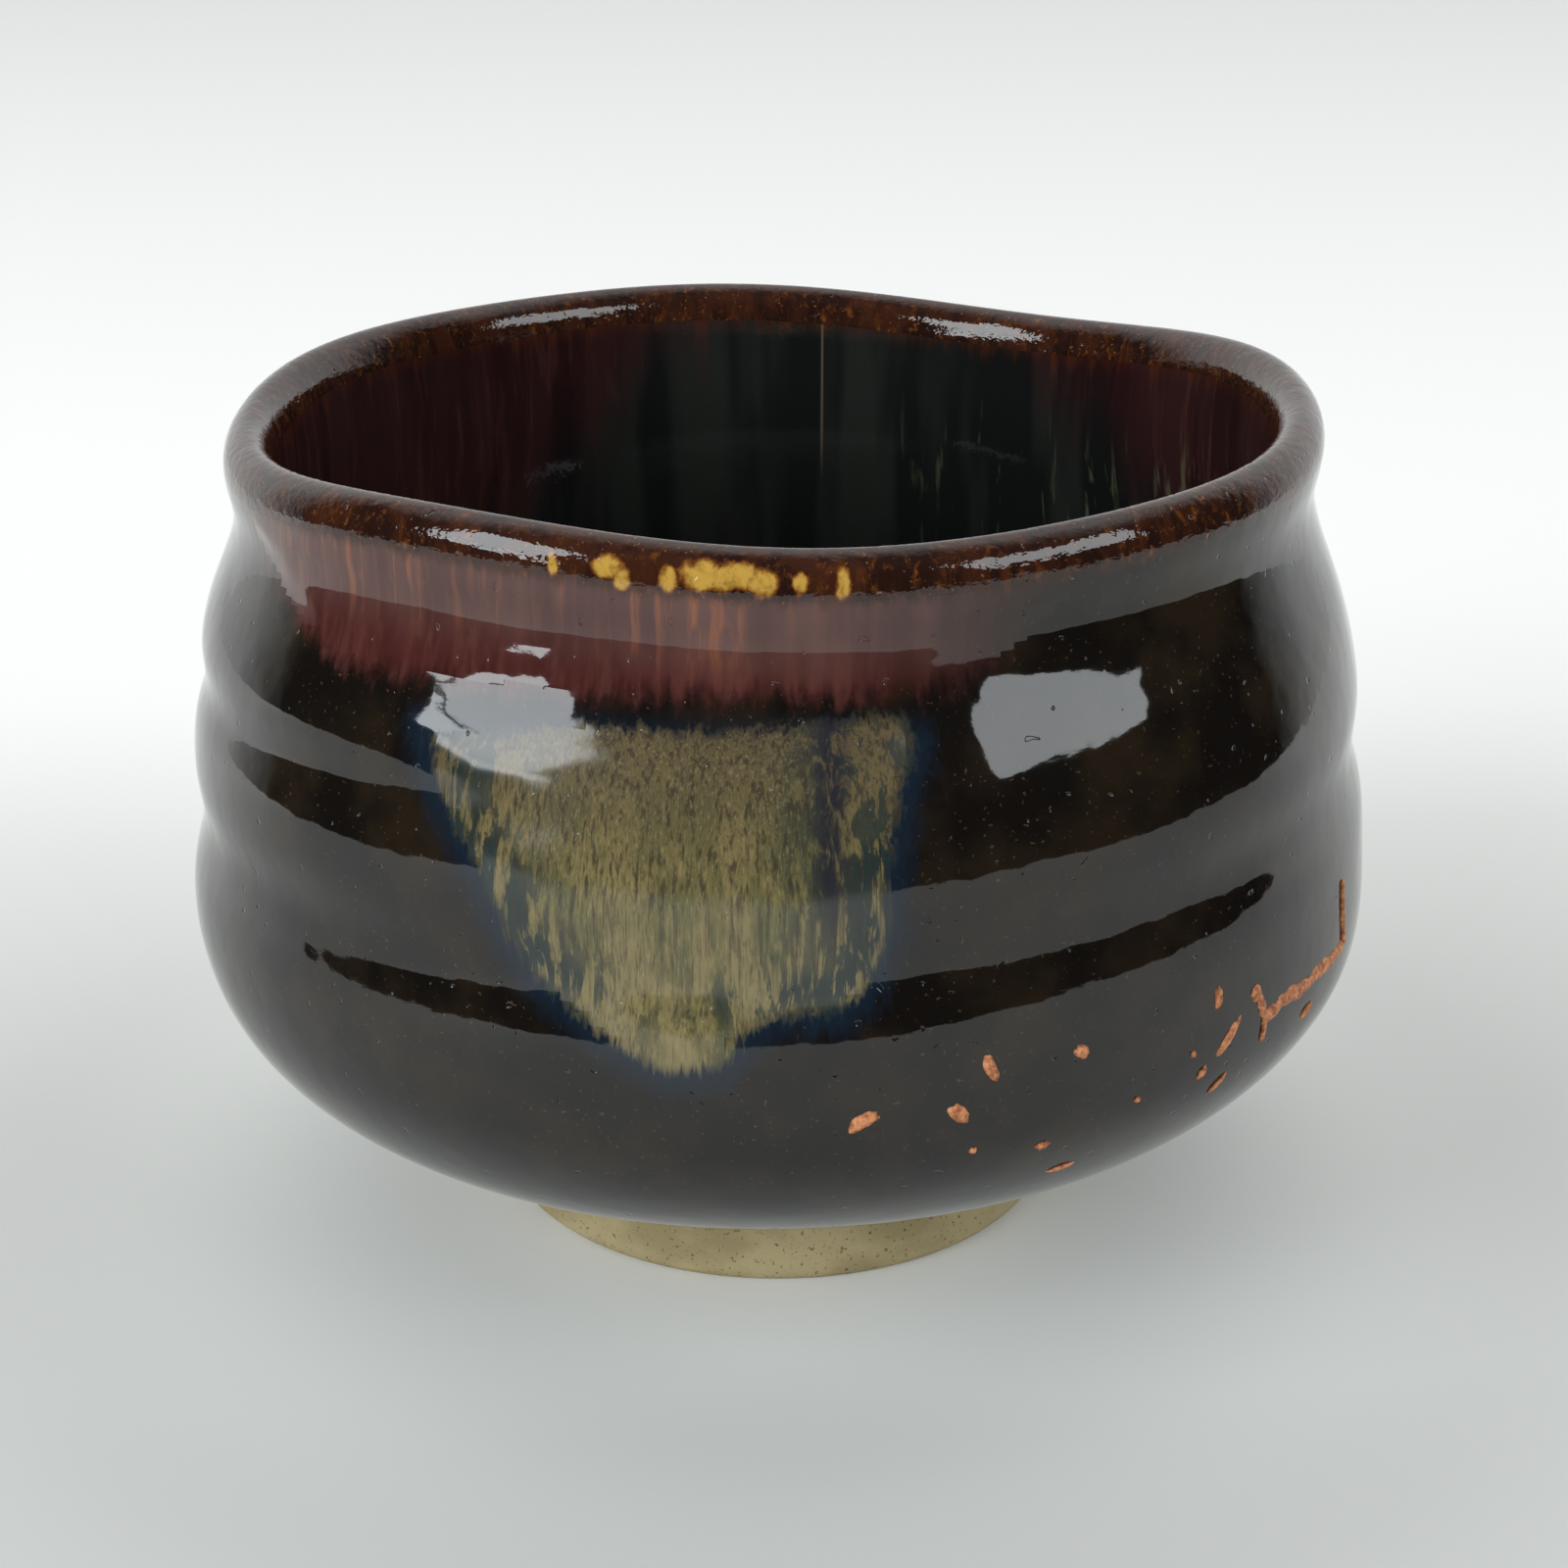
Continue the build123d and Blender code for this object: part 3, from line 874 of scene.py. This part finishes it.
# %% [markdown]
# ## Clay and rust
# The bare foot is sandy stoneware that fired to a warm buff, with dark grains in it.
# The scars are rough clay stained orange by iron. Sand could be real grains of mesh, but
# they are far smaller than a face, so noise and bump stand for them.

# %% Bare clay
def clay_paint(name):
    """Matt buff clay with dark grains."""
    p = Paint(name)
    cloud, sand = p.noise((0.12, 0.12, 0.2), 3), p.noise((2.2, 2.2, 2.2), 3, 0.6)
    colour = p.mix(p.ease(cloud, 0.35, 0.65), rgb(146, 132, 96), rgb(168, 153, 115))
    colour = p.mix(p.ease(sand, 0.60, 0.68), colour, rgb(98, 80, 54))
    p.set(Base_Color=colour, Roughness=0.85)
    p.relief((p.noise((3, 3, 3), 4, 0.7), 0.08), (p.noise((0.2, 0.2, 1.4), 2), 0.1))
    return p.material

# %% Rusty clay
def rust_paint(name):
    """Rough clay stained orange."""
    p = Paint(name)
    grain = p.noise((1.6, 1.6, 1.6), 4, 0.65)
    colour = p.mix(p.ease(grain, 0.35, 0.65), rgb(142, 80, 46), rgb(212, 142, 96))
    p.set(Base_Color=colour, Roughness=0.6)
    p.relief((grain, 0.15))
    return p.material


# %% [markdown]
# ## Glazing the pieces
# In the kiln each piece takes its own finish. A piece copied from another carries that
# one's materials, so its list is cleared before its own material is put on.

# %% A material for each piece
clay, rust = clay_paint("bare_clay"), rust_paint("rusty_clay")
finishes = [(piece, outside_glaze) for piece in (outside, lip_band, shoulder, ash_run)]
finishes += [(inside, inside_glaze), (scars, rust), (foot, clay), (clay_wall, clay)]
for piece, material in finishes:
    piece.data.materials.clear()
    piece.data.materials.append(material)
print("materials", sorted(m.name for m in bpy.data.materials))

# %% [markdown]
# ## Table
# The bowl stands on a pale table. Black glaze is a mirror, so the table's near edge
# matters: below it the glaze reflects white, and above it the dark room, which draws the
# two dark bands round the bowl. An endless floor would be simpler, but the bands would
# be missing. The table's colour holds painted shade and painted light: it is darker in
# front of the bowl and paler behind it, as if the light fell from the back, and paler
# round the foot, which lightens the bowl's cast shadow.

# %% Table
TABLE_FRONT, TABLE_BACK, TABLE_HALF = -0.42, 1.9, 0.48
middle = (TABLE_FRONT + TABLE_BACK) / 2
bpy.ops.mesh.primitive_plane_add(size=1, location=(0, middle, 0))
floor = bpy.context.object
floor.name = "floor"
floor.scale = (2 * TABLE_HALF, TABLE_BACK - TABLE_FRONT, 1)
bpy.ops.object.transform_apply(location=True, scale=True)
table = Paint("table")
squares = table.plus(table.times(table.x, table.x), table.times(table.y, table.y))
from_bowl = table.calc("SQRT", squares)
# near and far paint shade in front of the bowl and light behind it; under is painted light that
# lightens the bowl's shadow round its foot
near, far, under = (0.56, 0.56, 0.54, 1), (0.92, 0.91, 0.89, 1), (0.86, 0.865, 0.83, 1)
painted_front_shade = table.mix(table.ease(table.y, -30, 150), near, far)
table_painted_light_and_shade = table.mix(table.ease(from_bowl, 35, 88), under, painted_front_shade)
table.set(Base_Color=table_painted_light_and_shade, Roughness=0.8)
floor.data.materials.append(table.material)
print("table", 2 * TABLE_HALF, "by", round(TABLE_BACK - TABLE_FRONT, 2), "m")

# %% [markdown]
# ## Room
# The room in front is dim and brown. The ceiling is pale, brightest behind the bowl, and
# so is the wall at the back. The light could come from a picture of a room, but a few
# gradients on the direction are enough, because the glaze shows only soft shapes. The
# ceiling is weaker in reflections, and past the bowl the camera sees one plain tone.

# %% Room nodes

world = bpy.data.worlds.new("room")
bpy.context.scene.world = world
world.use_nodes = True
tree = world.node_tree


def world_node(kind, inputs=None, **settings):
    """Adds a node to the room. An input is a plain value or another node's socket."""
    made_node = tree.nodes.new(kind)
    for key, value in settings.items():
        setattr(made_node, key, value)
    for key, value in (inputs or {}).items():
        if isinstance(value, bpy.types.NodeSocket):
            tree.links.new(value, made_node.inputs[key])
        else:
            made_node.inputs[key].default_value = value
    return made_node


def ramp(value, low, high, start=0.0, end=1.0):
    """A straight ramp between two values."""
    inputs = {"Value": value, "From Min": low, "From Max": high, "To Min": start,
              "To Max": end}
    return world_node("ShaderNodeMapRange", inputs).outputs[0]


def combine(operation, a, b):
    """A product or the larger of two numbers."""
    return world_node("ShaderNodeMath", {0: a, 1: b}, operation=operation).outputs[0]

# %% Ceiling, back wall and dim room
direction = world_node("ShaderNodeTexCoord").outputs["Generated"]
axes = world_node("ShaderNodeSeparateXYZ", {0: direction}).outputs
paths = world_node("ShaderNodeLightPath").outputs
overhead = ramp(axes["Z"], 0.62, 0.80)
brightness = ramp(axes["Y"], -0.15, 0.35, 0.1, 2.4)
in_mirror = ramp(paths["Is Glossy Ray"], 0.0, 1.0, 1.0, 0.4)
ceiling = combine("MULTIPLY", overhead, combine("MULTIPLY", brightness, in_mirror))
back_wall = ramp(axes["Y"], 0.3, 0.6, 0.0, 0.85)
lit = combine("MAXIMUM", ceiling, back_wall)
dim = world_node("ShaderNodeBackground", {"Color": (0.020, 0.017, 0.014, 1)})
sky = world_node("ShaderNodeBackground", {"Color": (0.97, 1.0, 1.0, 1), "Strength": lit})
both = world_node("ShaderNodeAddShader", {0: dim.outputs[0], 1: sky.outputs[0]})
plain = world_node("ShaderNodeBackground", {"Color": (0.84, 0.85, 0.83, 1)})
shown = {0: paths["Is Camera Ray"], 1: both.outputs[0], 2: plain.outputs[0]}
mixed = world_node("ShaderNodeMixShader", shown)
tree.links.new(mixed.outputs[0], tree.nodes["World Output"].inputs["Surface"])
print(len(tree.nodes), "nodes light the room")

# %% [markdown]
# ## Windows
# Two windows in front of the bowl, left and right, show in the shoulder as two bright
# patches. The left one has two panes and hangs askew in the curved mirror, so it is
# rolled. They could be glowing planes, but area lamps give the same reflections with
# less noise. Two more lamps fill the shadows and are kept out of all reflections.

# %% A window
WINDOW_FAR, WINDOW_UP = 2.0, 0.05  # metres from the bowl, and its middle above the table


def window(name, azimuth, elevation, width, height, strength, roll=0, mirrored=True):
    """A bright pane that faces the bowl. Azimuth 0 is straight in front of it."""
    a, e = math.radians(azimuth), math.radians(elevation)
    toward = (math.sin(a) * math.cos(e), -math.cos(a) * math.cos(e), math.sin(e))
    place = WINDOW_FAR * Vector(toward) + Vector((0, 0, WINDOW_UP))
    bpy.ops.object.light_add(type="AREA", location=place)
    lamp = bpy.context.object
    lamp.name = name
    lamp.data.shape, lamp.data.size, lamp.data.size_y = "RECTANGLE", width, height
    lamp.data.energy = strength * width * height * math.pi
    lamp.data.color = (0.92, 0.97, 1.0)
    aim = Vector(toward).to_track_quat("Z", "Y")
    lamp.rotation_euler = (aim @ Quaternion((0, 0, 1), math.radians(roll))).to_euler()
    lamp.visible_glossy = mirrored
    return lamp


# %% The windows and the fill lamps
window("left_upper_pane", -56, 30.0, 1.05, 0.84, 6, roll=-17)
window("left_lower_pane", -56, 13.8, 1.05, 0.21, 7, roll=-17)
window("right_window", 59, 31, 1.2, 0.80, 4)
window("left_fill", -42, 20, 1.4, 0.7, 5.5, mirrored=False)
window("right_fill", 42, 20, 1.4, 0.7, 3, mirrored=False)

# %% [markdown]
# ## Camera
# The camera looks down a little from close in front, as when the bowl is held out. A far
# camera with a long lens would flatten the ellipse of the lip.

# %% Camera
CAMERA_PLACE = (0, -0.262, 0.146)
CAMERA_DOWN = math.radians(21.67)
bpy.ops.object.camera_add(location=CAMERA_PLACE,
                          rotation=(math.radians(90) - CAMERA_DOWN, 0, 0))
camera = bpy.context.object
camera.data.sensor_width = 36
camera.data.lens = 62.28
camera.data.shift_x = 0.0046875
camera.data.clip_start = 0.01
bpy.context.scene.camera = camera
bpy.context.scene.view_settings.view_transform = "Standard"
print("camera", round(math.degrees(CAMERA_DOWN), 2), "degrees down")
